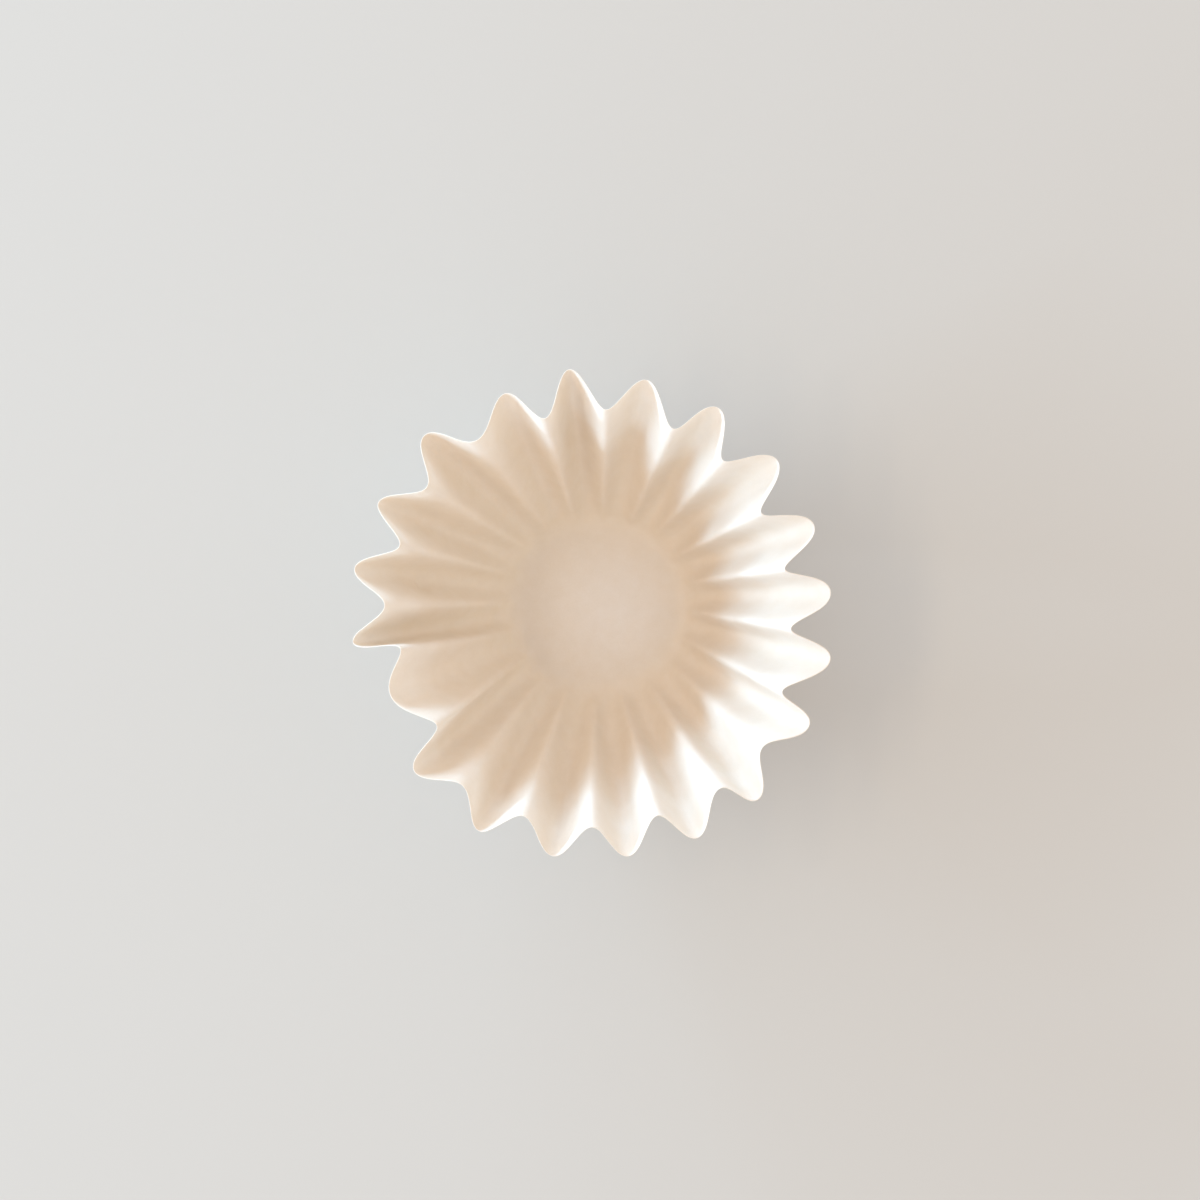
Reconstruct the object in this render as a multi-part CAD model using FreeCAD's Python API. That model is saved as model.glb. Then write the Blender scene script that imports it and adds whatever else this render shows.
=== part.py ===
import FreeCAD, Part
import math
import os

# A paper coffee filter with a flat round floor and a fluted wall, pressed from one round sheet.
# Millimetres, +Z up. The origin is the middle of the floor's underside, where the filter rests.
# The wall's paper is as long from the floor's corner to the cut edge all the way round, so the
# flutes' crests, which lean out more than the valleys between them, also end lower.

# Driving sizes: name, value. The crest and valley angles are degrees of lean from upright.
# floor_fold is how far the soft fold reaches each way from the floor's corner, and flute_start
# how far up the wall it holds the flutes back.
SIZES = [
    ("floor_diameter", 50.0),
    ("wall_length", 67.5),
    ("paper_thickness", 0.2),
    ("flute_count", 20),
    ("crest_angle", 33.2),
    ("valley_angle", 23.4),
    ("first_crest_angle", 6.3),
    ("floor_fold", 4.0),
    ("flute_start", 9.0),
]

# The flutes as they stand in the used filter, counter-clockwise from the first crest.
# Each row holds a crest and then the valley after it, and each of these is
# (sideways shift, reach, half width) at the rim. Shifts and widths are shares of a flute's
# pitch. Reaches are shares of the flutes' depth: above 0 a crest or valley stands further out.
FLUTES = [
    ((-0.05, -0.14, 0.17), (-0.10, -0.21, 0.07)),
    ((-0.12, -0.14, 0.17), (-0.11, -0.21, 0.07)),
    ((-0.12, -0.10, 0.16), (-0.07, -0.10, 0.08)),
    ((-0.08, -0.06, 0.16), (-0.14, -0.08, 0.09)),
    ((-0.06, -0.08, 0.14), (-0.04, -0.02, 0.09)),
    ((-0.03, 0.07, 0.11), (-0.09, -0.08, 0.10)),
    ((-0.13, -0.14, 0.13), (0.01, 0.12, 0.15)),
    ((0.07, 0.08, 0.14), (0.07, 0.11, 0.11)),
    ((0.13, 0.02, 0.12), (0.06, 0.00, 0.10)),
    ((0.05, 0.04, 0.12), (0.01, 0.10, 0.11)),
    ((0.03, 0.02, 0.11), (-0.31, -0.21, 0.09)),
    ((-0.13, -0.59, 0.20), (0.11, -0.29, 0.08)),
    ((-0.05, -0.06, 0.15), (0.06, 0.27, 0.12)),
    ((0.10, 0.12, 0.10), (0.09, 0.22, 0.10)),
    ((0.12, 0.12, 0.12), (0.13, 0.20, 0.10)),
    ((0.10, 0.09, 0.13), (0.13, 0.14, 0.10)),
    ((0.03, 0.14, 0.13), (0.14, 0.24, 0.13)),
    ((-0.03, 0.15, 0.14), (0.03, 0.24, 0.12)),
    ((0.12, 0.00, 0.16), (-0.07, -0.04, 0.08)),
    ((0.05, -0.04, 0.17), (-0.07, -0.17, 0.07)),
]

# The half widths of all crests and valleys at the floor, where they are alike, in the same shares.
CREST_FLOOR_WIDTH = 0.16
VALLEY_FLOOR_WIDTH = 0.07

# The share of the flutes' depth that the floor's fold holds back right beside it.
FOLD_HOLD = 0.75

# Where the facets' corners lie up the wall, as shares of its length above the fold. They are
# closest near the floor, where the flutes deepen fastest.
WALL_ROWS = [0.07, 0.2, 0.47, 1.0]

# Flat steps round the soft fold between floor and wall.
FOLD_STEPS = 3

# Flat facets to each pole of a flute's curve: small enough to follow it to a tenth of a millimetre.
FACETS_A_POLE = 3

# A cubic curve over two poles a crest and two a valley swings 11/12 as far as its poles do.
POLE_SWING = 12.0 / 11.0
CURVE_DEGREE = 3


def make_sheet(doc):
    """The spreadsheet with one aliased cell for each driving size."""
    sheet = doc.addObject("Spreadsheet::Sheet", "Sizes")
    for row, (name, value) in enumerate(SIZES, start=1):
        sheet.set("A%d" % row, name)
        sheet.set("B%d" % row, str(value))
        sheet.setAlias("B%d" % row, name)
    doc.recompute()
    return sheet


def flute_growth(share, sheet):
    """How deep the flutes are at a share of the wall's length, as a share of their full depth.

    A ring of the flat sheet keeps its length when the wall leans in, and what the smaller
    ring has no room for goes into the flutes. Near the floor the fold holds them shallow.
    """
    floor_radius = sheet.floor_diameter / 2
    mean_lean = math.radians((sheet.crest_angle + sheet.valley_angle) / 2)

    def spare(distance):
        flat_ring = floor_radius + distance
        leaning_ring = floor_radius + distance * math.sin(mean_lean)
        return math.sqrt(flat_ring ** 2 - leaning_ring ** 2)

    distance = share * sheet.wall_length
    held_back = FOLD_HOLD * math.exp(-distance / sheet.flute_start)
    return spare(distance) / spare(sheet.wall_length) * (1 - held_back)


def wall_pole(share, turn, lean, sheet):
    """A pole at a turn and a share of the wall's length, on a fold with the given lean."""
    floor_radius = sheet.floor_diameter / 2
    mean_lean = (sheet.crest_angle + sheet.valley_angle) / 2
    mean_reach = sheet.wall_length * math.sin(math.radians(mean_lean))
    fold_reach = sheet.wall_length * math.sin(math.radians(lean))
    depth = (fold_reach - mean_reach) * flute_growth(share, sheet)
    radius = floor_radius + mean_reach * share + depth
    height = sheet.wall_length * math.cos(math.radians(lean)) * share
    angle = math.radians(turn)
    return FreeCAD.Vector(radius * math.cos(angle), radius * math.sin(angle), height)


def fold_poles(share, sheet):
    """(turn, lean) of each pole round the filter, at a share of the wall's length."""
    pitch = 360.0 / sheet.flute_count
    mean_lean = (sheet.crest_angle + sheet.valley_angle) / 2
    depth = sheet.crest_angle - sheet.valley_angle
    poles = []
    for number in range(int(sheet.flute_count)):
        crest, valley = FLUTES[number % len(FLUTES)]
        folds = (
            (crest, 0.0, sheet.crest_angle, CREST_FLOOR_WIDTH),
            (valley, 0.5, sheet.valley_angle, VALLEY_FLOOR_WIDTH),
        )
        for (shift, reach, rim_width), place, lean, floor_width in folds:
            half_width = floor_width + (rim_width - floor_width) * share
            turn = sheet.first_crest_angle + pitch * (number + place + shift * share)
            pole_lean = mean_lean + (lean + reach * depth - mean_lean) * POLE_SWING
            for side in (-half_width, half_width):
                poles.append((turn + side * pitch, pole_lean))
    return poles


def floor_row(radius, sheet):
    """A level round row of poles in the floor."""
    row = []
    for turn, lean in fold_poles(0.0, sheet):
        angle = math.radians(turn)
        row.append(FreeCAD.Vector(radius * math.cos(angle), radius * math.sin(angle), 0))
    return row


def wall_row(share, sheet):
    """A row of poles at a share of the wall's length."""
    return [wall_pole(share, turn, lean, sheet) for turn, lean in fold_poles(share, sheet)]


def fold_row(inside, corner, outside, way):
    """A row in the soft fold between floor and wall, a share of the way round it."""
    weights = ((1 - way) ** 2, 2 * way * (1 - way), way ** 2)
    return [a * weights[0] + b * weights[1] + c * weights[2] for a, b, c in zip(inside, corner, outside)]


def facet_corners(poles):
    """Evenly spaced corners on the smooth closed curve over a row of poles."""
    knots = [float(knot) for knot in range(len(poles) + 1)]
    curve = Part.BSplineCurve()
    curve.buildFromPolesMultsKnots(poles, [1] * len(knots), knots, True, CURVE_DEGREE)
    return [curve.value(number / FACETS_A_POLE) for number in range(len(poles) * FACETS_A_POLE)]


def outer_rows(sheet):
    """Rows of corners of the paper's outer face, from the floor's rim to the cut edge."""
    inside = floor_row(sheet.floor_diameter / 2 - sheet.floor_fold, sheet)
    corner = floor_row(sheet.floor_diameter / 2, sheet)
    fold_share = sheet.floor_fold / sheet.wall_length
    outside = wall_row(fold_share, sheet)
    rows = [fold_row(inside, corner, outside, step / FOLD_STEPS) for step in range(FOLD_STEPS + 1)]
    rows += [wall_row(fold_share + (1 - fold_share) * share, sheet) for share in WALL_ROWS]
    return [facet_corners(row) for row in rows]


def inward_step(across, around, thickness):
    """The step from a corner to the paper's other face, mitred between the facets that meet there."""
    normals = [up.cross(side).normalize() for up in across for side in around]
    middle = FreeCAD.Vector()
    for normal in normals:
        middle += normal
    middle.normalize()
    spread = sum(middle.dot(normal) for normal in normals) / len(normals)
    return middle * (thickness / spread)


def inner_rows(rows, thickness):
    """Rows of corners of the paper's inner face. Those of the floor stay level."""
    moved = [[corner + FreeCAD.Vector(0, 0, thickness) for corner in rows[0]]]
    for i in range(1, len(rows)):
        moved_row = []
        for j, corner in enumerate(rows[i]):
            across = [corner - rows[i - 1][j]]
            if i < len(rows) - 1:
                across.append(rows[i + 1][j] - corner)
            around = [corner - rows[i][j - 1], rows[i][(j + 1) % len(rows[i])] - corner]
            moved_row.append(corner + inward_step(across, around, thickness))
        moved.append(moved_row)
    return moved


def flat_face(corners):
    """A flat face with the given corners."""
    return Part.Face(Part.makePolygon(corners + corners[:1]))


def band(low, high):
    """The three-cornered facets between two rows of corners."""
    facets = []
    for j in range(len(low)):
        k = (j + 1) % len(low)
        facets.append(flat_face([low[j], low[k], high[k]]))
        facets.append(flat_face([low[j], high[k], high[j]]))
    return facets


def paper(sheet):
    """The folded sheet as one solid: its two faces with their floors, and the cut edge."""
    outer = outer_rows(sheet)
    inner = inner_rows(outer, sheet.paper_thickness)
    facets = [flat_face(outer[0]), flat_face(inner[0])]
    for rows in (outer, inner):
        for low, high in zip(rows, rows[1:]):
            facets += band(low, high)
    facets += band(outer[-1], inner[-1])
    shell = Part.makeShell(facets)
    shell.sewShape()
    solid = Part.makeSolid(shell)
    if solid.Volume < 0:
        solid.reverse()
    return solid


def check(doc, parts):
    """Stops where an object failed or a sub-part has no sound solid."""
    for item in doc.Objects:
        if "Invalid" in item.State or "Error" in item.State:
            raise RuntimeError("%s failed: %s" % (item.Label, item.State))
    for part in parts:
        if part.Shape.isNull() or not part.Shape.isValid():
            raise RuntimeError("%s has no valid shape" % part.Label)


doc = FreeCAD.newDocument("coffee_filter")
sizes = make_sheet(doc)

paper_filter = doc.addObject("Part::Feature", "paper_filter")
paper_filter.Label = "paper_filter"
paper_filter.Shape = paper(sizes)
paper_filter.Placement = FreeCAD.Placement()

doc.recompute()
check(doc, [paper_filter])

os.makedirs("parts", exist_ok=True)
paper_filter.Shape.exportStep("parts/paper_filter.step")
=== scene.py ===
import math

import bpy
import numpy as np
from mathutils import Matrix, Vector, noise


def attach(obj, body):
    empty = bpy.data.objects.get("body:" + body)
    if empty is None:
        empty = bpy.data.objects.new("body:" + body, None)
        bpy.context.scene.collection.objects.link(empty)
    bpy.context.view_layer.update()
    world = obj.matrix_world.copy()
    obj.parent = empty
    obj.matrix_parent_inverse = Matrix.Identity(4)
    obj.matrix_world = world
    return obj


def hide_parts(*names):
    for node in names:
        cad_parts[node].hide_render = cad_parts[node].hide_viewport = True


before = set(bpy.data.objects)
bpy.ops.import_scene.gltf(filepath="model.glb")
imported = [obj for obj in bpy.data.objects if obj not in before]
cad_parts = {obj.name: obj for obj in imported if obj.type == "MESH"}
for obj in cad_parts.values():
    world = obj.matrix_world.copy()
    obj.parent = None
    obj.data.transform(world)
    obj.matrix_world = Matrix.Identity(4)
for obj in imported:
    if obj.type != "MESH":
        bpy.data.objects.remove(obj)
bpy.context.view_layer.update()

# A used paper coffee filter: one sheet with a flat round floor and a wall of twenty soft flutes.
# Metres, +Z up. The photograph looks straight down into it, with +Y at its top edge.

MM = 0.001

# The filter's sizes. Leans are in degrees from upright.
FLOOR_RADIUS = 25 * MM
WALL_LENGTH = 67.5 * MM
PAPER = 0.2 * MM
CREST_LEAN = 33.2
VALLEY_LEAN = 23.4
FIRST_CREST_TURN = 6.3
FLOOR_FOLD = 4 * MM
FLUTE_START = 9 * MM  # how far up the wall the fold holds the flutes back
FOLD_HOLD = 0.75  # and how much of their depth, right beside it

# The flutes counter-clockwise from the first crest, each a crest and then the valley after it.
# Each of these is (sideways shift, reach, half width) at the rim: shifts and widths are shares of a
# flute's pitch, and reaches are shares of the flutes' depth, above 0 where it stands further out.
FLUTES = [
    ((-0.05, -0.14, 0.17), (-0.10, -0.21, 0.07)),
    ((-0.12, -0.14, 0.17), (-0.11, -0.21, 0.07)),
    ((-0.12, -0.10, 0.16), (-0.07, -0.10, 0.08)),
    ((-0.08, -0.06, 0.16), (-0.14, -0.08, 0.09)),
    ((-0.06, -0.08, 0.14), (-0.04, -0.02, 0.09)),
    ((-0.03, 0.07, 0.11), (-0.09, -0.08, 0.10)),
    ((-0.13, -0.14, 0.13), (0.01, 0.12, 0.15)),
    ((0.07, 0.08, 0.14), (0.07, 0.11, 0.11)),
    ((0.13, 0.02, 0.12), (0.06, 0.00, 0.10)),
    ((0.05, 0.04, 0.12), (0.01, 0.10, 0.11)),
    ((0.03, 0.02, 0.11), (-0.31, -0.21, 0.09)),
    ((-0.13, -0.59, 0.20), (0.11, -0.29, 0.08)),
    ((-0.05, -0.06, 0.15), (0.06, 0.27, 0.12)),
    ((0.10, 0.12, 0.10), (0.09, 0.22, 0.10)),
    ((0.12, 0.12, 0.12), (0.13, 0.20, 0.10)),
    ((0.10, 0.09, 0.13), (0.13, 0.14, 0.10)),
    ((0.03, 0.14, 0.13), (0.14, 0.24, 0.13)),
    ((-0.03, 0.15, 0.14), (0.03, 0.24, 0.12)),
    ((0.12, 0.00, 0.16), (-0.07, -0.04, 0.08)),
    ((0.05, -0.04, 0.17), (-0.07, -0.17, 0.07)),
]
CREST_FLOOR_WIDTH = 0.16  # half widths of all crests and valleys at the floor
VALLEY_FLOOR_WIDTH = 0.07
PITCH = 360 / len(FLUTES)
MEAN_LEAN = (CREST_LEAN + VALLEY_LEAN) / 2
POLE_SWING = 12 / 11  # a cubic curve swings 11/12 as far as its poles do

# The light: panels round the filter, each (name, turn, height, watts, colour) with its turn from
# +X and its height above the table in degrees, a warm room, and a small lamp over the floor.
# The daylight comes mostly from the left, low enough to leave the left wall and the floor in shade.
DAYLIGHT = (0.44, 0.725, 1.0)
WARM_LIGHT = (1.0, 0.8, 0.55)
PANELS = [
    ("window_back", 108, 10, 30, DAYLIGHT),
    ("window_middle", 140, 18, 31, DAYLIGHT),
    ("window_left", 178, 23, 37, DAYLIGHT),
    ("window_front", 216, 14, 21, DAYLIGHT),
    ("window_low", 258, 10, 11, DAYLIGHT),
    ("window_far", 10, 9, 9, DAYLIGHT),
    ("ceiling_left", 178, 58, 8, WARM_LIGHT),
]
PANEL_SIZE = (1.5, 0.13)
PANEL_DISTANCE = 2.5
PANEL_AIM = (0, 0, 30 * MM)
ROOM_COLOUR = (1.0, 0.88, 0.79, 1)
ROOM_STRENGTH = 0.99
LAMP_PLACE = (4 * MM, -1 * MM, 600 * MM)
LAMP_COLOUR = (0.3, 0.6, 1.0)
LAMP_CONE = 4.2  # degrees
LAMP_RADIUS = 10 * MM
LAMP_WATTS = 1.9

# The camera's place, what it looks at and its lens, fitted to the photograph.
CAMERA_PLACE = (10.6 * MM, 16.3 * MM, 475 * MM)
CAMERA_AIM = (0.38 * MM, 1.88 * MM, 0)
CAMERA_LENS = 49.3
CAMERA_SENSOR = 36
CAMERA_NEAR = 10 * MM

# The table, from its middle to each side. It lies a hair under the paper, so that the two don't
# share a plane.
TABLE_REACH = 4.0
TABLE_GAP = 0.05 * MM
TABLE_COLOUR = (0.53, 0.508, 0.475, 1)
TABLE_ROUGHNESS = 0.8

# The paper: its darker and lighter tones, the fibres' shade over them, how rough it is, how far
# its grain stands up, and the share and colour of the light that it lets through.
PAPER_TONES = ((0.90, 0.845, 0.77), (0.93, 0.885, 0.825))
FIBRE_TONES = ((0.965, 0.96, 0.95), (1.0, 1.0, 1.0))
TONE_SPAN = (0.3, 0.7)  # the part of a texture's range that goes from one tone to the other
PAPER_ROUGHNESS = 0.92
GRAIN_DEPTH = 0.03 * MM
GRAIN_STRENGTH = 0.5
THROUGH_SHARE = 0.22
THROUGH_COLOUR = (0.95, 0.75, 0.52, 1)
SHEEN = 0.2  # the specular level of paper and table

# How finely the sheet is meshed: columns to a pole, rows up the wall, which lie closer together
# near the floor, and rows round the fold. EDGE_ROW is how far the last but one lies from the rim.
COLUMNS_A_POLE = 8
WALL_ROWS = 44
ROW_CROWDING = 1.25
FOLD_ROWS = 5
EDGE_ROW = 0.35 * MM
FLOOR_RINGS = [  # (share of the floor's radius, how many columns the ring skips)
    (0.04, 32), (0.10, 32), (0.17, 16), (0.25, 16), (0.33, 8), (0.41, 8), (0.49, 8),
    (0.57, 8), (0.65, 8), (0.73, 8), (0.81, 8), (0.88, 4), (0.94, 2),
]

# The paper's unevenness: soft waves, which the floor doesn't have, and fine cockles, which are
# deeper in the wall. Both reach their full depth at RISE past the floor. Each seed is the place
# in the noise where they start.
WAVE_SIZE = 16 * MM
WAVE_DEPTH = 0.30 * MM
COCKLE_SIZE = 5 * MM
COCKLE_DEPTH = 0.03 * MM
COCKLE_GROWTH = 0.05 * MM
RISE = 30 * MM
WAVE_SEED = Vector((3.1, 0.4, 7.7))
COCKLE_SEED = Vector((9.2, 5.5, 1.3))
LEVEL = 0.05 * MM  # what is lower lies on the table

# Dents in the wall: (turn in degrees, way up the wall, radius, depth outward).
DENTS = [
    (171.6, 41.8 * MM, 2.4 * MM, 1.4 * MM),
    (184.8, 8.5 * MM, 2.2 * MM, 0.6 * MM),
]

# How far the cut edge bulges, as a share of the paper's thickness.
EDGE_BULGE = 0.3


def fold_poles(share):
    """Arrays of each pole's turn and lean, in radians, at a share of the wall's length."""
    depth = CREST_LEAN - VALLEY_LEAN
    turns, leans = [], []
    for number, (crest, valley) in enumerate(FLUTES):
        folds = (
            (crest, 0.0, CREST_LEAN, CREST_FLOOR_WIDTH),
            (valley, 0.5, VALLEY_LEAN, VALLEY_FLOOR_WIDTH),
        )
        for (shift, reach, rim_width), place, lean, floor_width in folds:
            half_width = floor_width + (rim_width - floor_width) * share
            for side in (-half_width, half_width):
                turns.append(FIRST_CREST_TURN + PITCH * (number + place + shift * share + side))
                leans.append(MEAN_LEAN + (lean + reach * depth - MEAN_LEAN) * POLE_SWING)
    return np.radians(turns), np.radians(leans)


def flute_growth(distance):
    """How deep the flutes are at a way up the wall, as a share of their depth at the rim.

    A ring of the flat sheet keeps its length when the wall leans in, and what the smaller
    ring has no room for goes into the flutes. Near the floor the fold holds them shallow.
    """
    def spare(length):
        flat_ring = FLOOR_RADIUS + length
        leaning_ring = FLOOR_RADIUS + length * math.sin(math.radians(MEAN_LEAN))
        return math.sqrt(flat_ring ** 2 - leaning_ring ** 2)

    held_back = FOLD_HOLD * math.exp(-distance / FLUTE_START)
    return spare(distance) / spare(WALL_LENGTH) * (1 - held_back)


def around(poles):
    """Points on the smooth closed curve over a row of poles."""
    rows = []
    for step in range(COLUMNS_A_POLE):
        t = step / COLUMNS_A_POLE
        weights = ((1 - t) ** 3, 3 * t ** 3 - 6 * t ** 2 + 4, -3 * t ** 3 + 3 * t ** 2 + 3 * t + 1, t ** 3)
        rows.append(sum(w / 6 * np.roll(poles, 1 - k, axis=0) for k, w in enumerate(weights)))
    return np.stack(rows, axis=1).reshape(-1, 3)


def wall_poles(distance):
    """The row of poles at a way up the wall."""
    share = distance / WALL_LENGTH
    turns, leans = fold_poles(share)
    mean_reach = WALL_LENGTH * math.sin(math.radians(MEAN_LEAN))
    depth = (WALL_LENGTH * np.sin(leans) - mean_reach) * flute_growth(distance)
    radius = FLOOR_RADIUS + mean_reach * share + depth
    return np.stack([radius * np.cos(turns), radius * np.sin(turns), distance * np.cos(leans)], axis=1)


def floor_poles(radius):
    """A level round row of poles at the folds' turns."""
    turns = fold_poles(0)[0]
    return np.stack([radius * np.cos(turns), radius * np.sin(turns), 0 * turns], axis=1)


def sheet_rows():
    """Rows of points of the sheet's outer face, from the floor's rim to the cut edge."""
    inside = around(floor_poles(FLOOR_RADIUS - FLOOR_FOLD))
    corner = around(floor_poles(FLOOR_RADIUS))
    outside = around(wall_poles(FLOOR_FOLD))
    rows = []
    for step in range(FOLD_ROWS):
        t = step / FOLD_ROWS
        rows.append((1 - t) ** 2 * inside + 2 * t * (1 - t) * corner + t ** 2 * outside)
    shares = [(step / WALL_ROWS) ** ROW_CROWDING for step in range(WALL_ROWS)]
    distances = [FLOOR_FOLD + (WALL_LENGTH - FLOOR_FOLD) * share for share in shares]
    for distance in distances + [WALL_LENGTH - EDGE_ROW, WALL_LENGTH]:
        rows.append(around(wall_poles(distance)))
    return rows


class Sheet:
    """Points and faces of one side of the sheet, gathered ring by ring and facing into the filter."""

    def __init__(self):
        self.points = []
        self.faces = []

    def add_ring(self, ring):
        """Adds a ring of points and returns their numbers."""
        first = len(self.points)
        self.points.extend(tuple(point) for point in ring)
        return list(range(first, len(self.points)))

    def join(self, low, high):
        """Faces between two rings, of the same count or of which low has half as many points."""
        count = len(high)
        if len(low) == count:
            for j in range(count):
                k = (j + 1) % count
                self.faces.append((low[j], high[j], high[k], low[k]))
            return
        for j in range(len(low)):
            k = (j + 1) % len(low)
            left, middle, right = high[2 * j], high[2 * j + 1], high[(2 * j + 2) % count]
            self.faces.append((low[j], left, middle))
            self.faces.append((low[j], middle, low[k]))
            self.faces.append((low[k], middle, right))


def build_sheet():
    """The outer face: a floor of rings that thin out towards the middle, the fold and the wall."""
    sheet = Sheet()
    rows = sheet_rows()
    middle = sheet.add_ring([(0, 0, 0)])[0]
    below = None
    for share, skip in FLOOR_RINGS:
        ring = sheet.add_ring(rows[0][::skip] * share)
        if below is None:
            for j in range(len(ring)):
                sheet.faces.append((middle, ring[j], ring[(j + 1) % len(ring)]))
        else:
            sheet.join(below, ring)
        below = ring
    for row in rows:
        ring = sheet.add_ring(row)
        sheet.join(below, ring)
        below = ring
    return np.array(sheet.points), sheet.faces, below


def vertex_normals(points, faces):
    """Unit normals of the points, on the side that the faces face."""
    normals = np.zeros_like(points)
    for size in (3, 4):
        corners = np.array([face for face in faces if len(face) == size])
        across = points[corners[:, size - 2]] - points[corners[:, 0]]
        along = points[corners[:, size - 1]] - points[corners[:, 1 if size == 4 else 0]]
        square = np.cross(across, along)
        for column in range(size):
            np.add.at(normals, corners[:, column], square)
    return normals / np.linalg.norm(normals, axis=1)[:, None]


def wall_point(turn, distance):
    """The point of the smooth wall at a turn and a way up it."""
    ring = around(wall_poles(distance))
    turns = np.degrees(np.arctan2(ring[:, 1], ring[:, 0])) % 360
    return ring[np.argmin(np.abs(turns - turn))]


def unevenness(points):
    """How far each point lies off its ideal place, along the normal: soft waves, cockles and dents."""
    offsets = np.zeros(len(points))
    for index, (x, y, z) in enumerate(points):
        up = min(max((math.hypot(x, y) - FLOOR_RADIUS) / RISE, 0), 1)
        place = Vector((x, y, z))
        wave = noise.noise(place / WAVE_SIZE + WAVE_SEED)
        cockle = noise.noise(place / COCKLE_SIZE + COCKLE_SEED)
        offsets[index] = WAVE_DEPTH * up * wave + (COCKLE_DEPTH + COCKLE_GROWTH * up) * cockle
    for turn, distance, radius, depth in DENTS:
        away = np.linalg.norm(points - wall_point(turn, distance), axis=1) / radius
        offsets -= depth * np.exp(-away ** 2)
    return offsets


def filter_mesh():
    """The whole sheet with its thickness and a rounded cut edge."""
    outer, faces, rim = build_sheet()
    normals = vertex_normals(outer, faces)
    lift = unevenness(outer)
    on_table = outer[:, 2] < LEVEL
    lift[on_table] = np.maximum(lift[on_table], 0)
    outer = outer + normals * lift[:, None]
    normals = vertex_normals(outer, faces)
    inner = outer + normals * PAPER
    count = len(outer)

    # the cut edge bulges a little between its two corners
    below = np.array(rim) - len(rim)
    upward = outer[rim] - outer[below]
    upward /= np.linalg.norm(upward, axis=1)[:, None]
    edge = (outer[rim] + inner[rim]) / 2 + upward * PAPER * EDGE_BULGE
    edge_ring = list(range(2 * count, 2 * count + len(rim)))

    all_faces = [tuple(reversed(face)) for face in faces]
    all_faces += [tuple(corner + count for corner in face) for face in faces]
    for j in range(len(rim)):
        k = (j + 1) % len(rim)
        all_faces.append((rim[j], rim[k], edge_ring[k], edge_ring[j]))
        all_faces.append((edge_ring[j], edge_ring[k], rim[k] + count, rim[j] + count))
    points = np.concatenate([outer, inner, edge])
    mesh = bpy.data.meshes.new("filter_sheet")
    mesh.from_pydata([tuple(point) for point in points], [], all_faces)
    mesh.update()
    return mesh


def paper_material():
    """White filter paper: a cloudy, faintly fibrous surface that lets some light through."""
    material = bpy.data.materials.new("filter_paper")
    material.use_nodes = True
    nodes = material.node_tree.nodes
    links = material.node_tree.links
    nodes.clear()
    output = nodes.new("ShaderNodeOutputMaterial")
    place = nodes.new("ShaderNodeTexCoord")

    def texture(scale, detail, roughness):
        node = nodes.new("ShaderNodeTexNoise")
        node.inputs["Scale"].default_value = scale
        node.inputs["Detail"].default_value = detail
        node.inputs["Roughness"].default_value = roughness
        links.new(place.outputs["Object"], node.inputs["Vector"])
        return node.outputs["Fac"]

    def ramp(source, tones):
        node = nodes.new("ShaderNodeValToRGB")
        for element, position, tone in zip(node.color_ramp.elements, TONE_SPAN, tones):
            element.position = position
            element.color = (*tone, 1)
        links.new(source, node.inputs["Fac"])
        return node.outputs["Color"]

    clouds = texture(scale=220, detail=4, roughness=0.6)
    fibres = texture(scale=2600, detail=3, roughness=0.7)
    mixed = nodes.new("ShaderNodeMix")
    mixed.data_type = "RGBA"
    mixed.blend_type = "MULTIPLY"
    mixed.inputs["Factor"].default_value = 1
    links.new(ramp(clouds, PAPER_TONES), mixed.inputs["A"])
    links.new(ramp(fibres, FIBRE_TONES), mixed.inputs["B"])

    bump = nodes.new("ShaderNodeBump")
    bump.inputs["Strength"].default_value = GRAIN_STRENGTH
    bump.inputs["Distance"].default_value = GRAIN_DEPTH
    links.new(texture(scale=1500, detail=4, roughness=0.65), bump.inputs["Height"])

    surface = nodes.new("ShaderNodeBsdfPrincipled")
    surface.inputs["Roughness"].default_value = PAPER_ROUGHNESS
    surface.inputs["Specular IOR Level"].default_value = SHEEN
    links.new(mixed.outputs["Result"], surface.inputs["Base Color"])
    links.new(bump.outputs["Normal"], surface.inputs["Normal"])
    through = nodes.new("ShaderNodeBsdfTranslucent")
    through.inputs["Color"].default_value = THROUGH_COLOUR
    links.new(bump.outputs["Normal"], through.inputs["Normal"])
    share = nodes.new("ShaderNodeMixShader")
    share.inputs["Fac"].default_value = THROUGH_SHARE
    links.new(surface.outputs["BSDF"], share.inputs[1])
    links.new(through.outputs["BSDF"], share.inputs[2])
    links.new(share.outputs["Shader"], output.inputs["Surface"])
    return material


def make_filter():
    """The paper filter, in place of the plain solid."""
    mesh = filter_mesh()
    for polygon in mesh.polygons:
        polygon.use_smooth = True
    piece = bpy.data.objects.new("filter_sheet", mesh)
    bpy.context.scene.collection.objects.link(piece)
    mesh.materials.append(paper_material())
    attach(piece, "root")
    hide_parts("paper_filter")


def make_floor():
    """A plain pale table."""
    mesh = bpy.data.meshes.new("table")
    sides = ((-1, -1), (1, -1), (1, 1), (-1, 1))
    corners = [(x * TABLE_REACH, y * TABLE_REACH, -TABLE_GAP) for x, y in sides]
    mesh.from_pydata(corners, [], [(0, 1, 2, 3)])
    table = bpy.data.objects.new("table", mesh)
    bpy.context.scene.collection.objects.link(table)
    material = bpy.data.materials.new("table")
    material.use_nodes = True
    surface = material.node_tree.nodes["Principled BSDF"]
    surface.inputs["Base Color"].default_value = TABLE_COLOUR
    surface.inputs["Roughness"].default_value = TABLE_ROUGHNESS
    surface.inputs["Specular IOR Level"].default_value = SHEEN
    mesh.materials.append(material)


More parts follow.
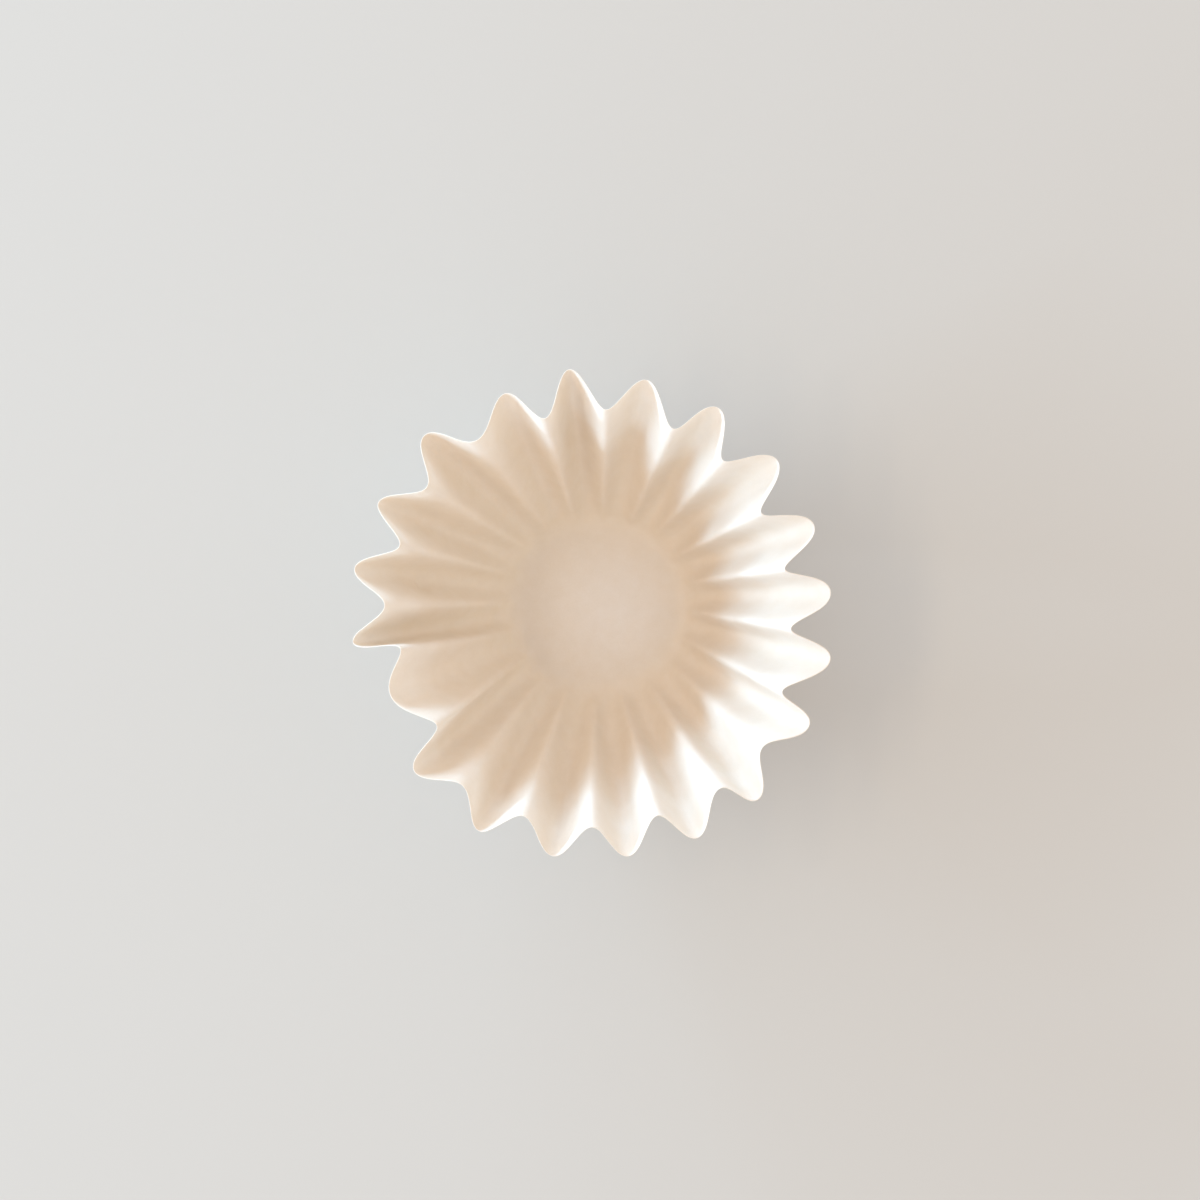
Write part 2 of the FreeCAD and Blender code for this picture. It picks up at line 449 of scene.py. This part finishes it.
def aimed(eye, aim, up):
    """A placement at eye that looks at aim, with the given direction upward in its picture."""
    forward = (Vector(aim) - Vector(eye)).normalized()
    right = forward.cross(Vector(up)).normalized()
    turn = Matrix((right, right.cross(forward), -forward)).transposed().to_4x4()
    return Matrix.Translation(eye) @ turn


def make_panel(name, turn, height, watts, colour):
    """A wide flat panel of light that faces the filter."""
    turn = math.radians(turn)
    height = math.radians(height)
    level = math.cos(height)
    eye = PANEL_DISTANCE * Vector((level * math.cos(turn), level * math.sin(turn), math.sin(height)))
    data = bpy.data.lights.new(name, "AREA")
    data.shape = "RECTANGLE"
    data.size, data.size_y = PANEL_SIZE
    data.energy = watts
    data.color = colour
    panel = bpy.data.objects.new(name, data)
    panel.matrix_world = aimed(eye, PANEL_AIM, (0, 0, 1))
    bpy.context.scene.collection.objects.link(panel)


def make_lamp():
    """A narrow soft lamp straight overhead, which leaves a pale pool in the middle of the floor."""
    data = bpy.data.lights.new("lamp", "SPOT")
    data.energy = LAMP_WATTS
    data.color = LAMP_COLOUR
    data.spot_size = math.radians(LAMP_CONE)
    data.spot_blend = 1
    data.shadow_soft_size = LAMP_RADIUS
    lamp = bpy.data.objects.new("lamp", data)
    lamp.location = LAMP_PLACE
    bpy.context.scene.collection.objects.link(lamp)


def make_light():
    """The panels, the lamp and the room's even light."""
    for panel in PANELS:
        make_panel(*panel)
    make_lamp()
    world = bpy.data.worlds.new("room")
    world.use_nodes = True
    background = world.node_tree.nodes["Background"]
    background.inputs["Color"].default_value = ROOM_COLOUR
    background.inputs["Strength"].default_value = ROOM_STRENGTH
    bpy.context.scene.world = world
    bpy.context.scene.view_settings.view_transform = "Standard"


def make_camera():
    """The photograph's view, almost straight down from a little up and right of the middle."""
    data = bpy.data.cameras.new("camera")
    data.lens = CAMERA_LENS
    data.sensor_width = CAMERA_SENSOR
    data.clip_start = CAMERA_NEAR
    camera = bpy.data.objects.new("camera", data)
    camera.matrix_world = aimed(CAMERA_PLACE, CAMERA_AIM, (0, 1, 0))
    bpy.context.scene.collection.objects.link(camera)
    bpy.context.scene.camera = camera


make_filter()
make_floor()
make_light()
make_camera()
